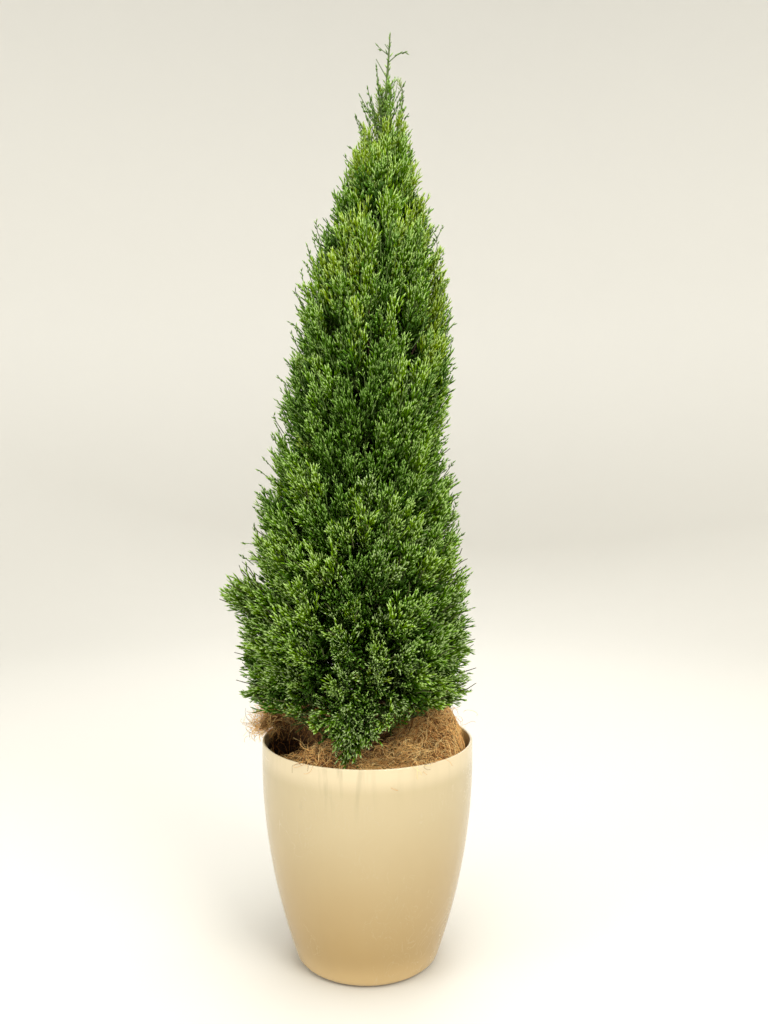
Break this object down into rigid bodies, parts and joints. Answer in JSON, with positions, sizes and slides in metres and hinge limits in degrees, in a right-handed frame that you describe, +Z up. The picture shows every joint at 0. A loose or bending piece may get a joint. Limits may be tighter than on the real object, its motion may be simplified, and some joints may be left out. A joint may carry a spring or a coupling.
{
  "type": "potted cypress",
  "caption": "Slim evergreen cypress with dense upright foliage in a plain round glossy planter, filled with soil and topped with coir.",
  "frame": {"origin": "middle of the planter's flat underside, on the surface it stands on", "axes": "+Z up along the planter's axis, -Y towards the pictured front, +X to the right seen from the front"},
  "size_m": [0.3272, 0.3136, 1.228],
  "materials": {
    "planter": "glossy cream moulded plastic",
    "soil": "dark crumbly potting soil",
    "coir": "matt brown coconut fibre",
    "bark": "thin fibrous brown bark",
    "foliage": "waxy green scale leaves"
  },
  "bodies": {
    "root": {"planter": "planter", "soil": "soil", "coir": "coir", "trunk": "bark", "skirt_mass_1": "foliage", "skirt_mass_2": "foliage", "skirt_mass_3": "foliage", "skirt_mass_4": "foliage", "skirt_mass_5": "foliage", "skirt_mass_6": "foliage", "lower_mass_1": "foliage", "lower_mass_2": "foliage", "lower_mass_3": "foliage", "lower_mass_4": "foliage", "lower_mass_5": "foliage", "lower_mass_6": "foliage", "middle_mass_1": "foliage", "middle_mass_2": "foliage", "middle_mass_3": "foliage", "middle_mass_4": "foliage", "middle_mass_5": "foliage", "upper_mass_1": "foliage", "upper_mass_2": "foliage", "upper_mass_3": "foliage", "upper_mass_4": "foliage", "upper_mass_5": "foliage", "high_mass_1": "foliage", "high_mass_2": "foliage", "high_mass_3": "foliage", "high_mass_4": "foliage", "top_mass_1": "foliage", "top_mass_2": "foliage", "top_mass_3": "foliage"}
  },
  "joints": []
}
